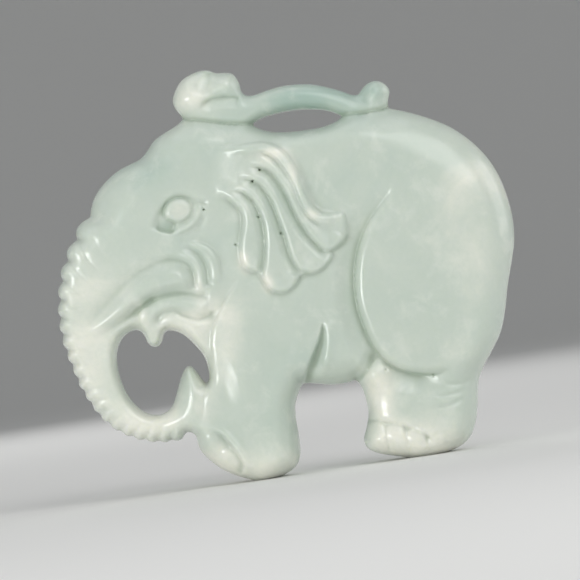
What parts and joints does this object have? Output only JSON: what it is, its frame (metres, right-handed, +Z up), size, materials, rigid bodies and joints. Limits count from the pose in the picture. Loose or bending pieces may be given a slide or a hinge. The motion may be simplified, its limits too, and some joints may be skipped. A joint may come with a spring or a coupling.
{
  "type": "jade figurine",
  "caption": "Small flat jade carving of a walking elephant, alike on both faces, with a ruyi sceptre along its back and a cord slot under the handle.",
  "frame": {"origin": "on the plane of the two soles, under the middle of the carving's length and thickness", "axes": "+Z up through the back, head towards -X, carved faces towards -Y and +Y, which mirror each other"},
  "size_m": [0.0606, 0.0136, 0.0538],
  "materials": {
    "jade": "polished"
  },
  "bodies": {
    "root": {"elephant_carving": "jade"}
  },
  "joints": []
}
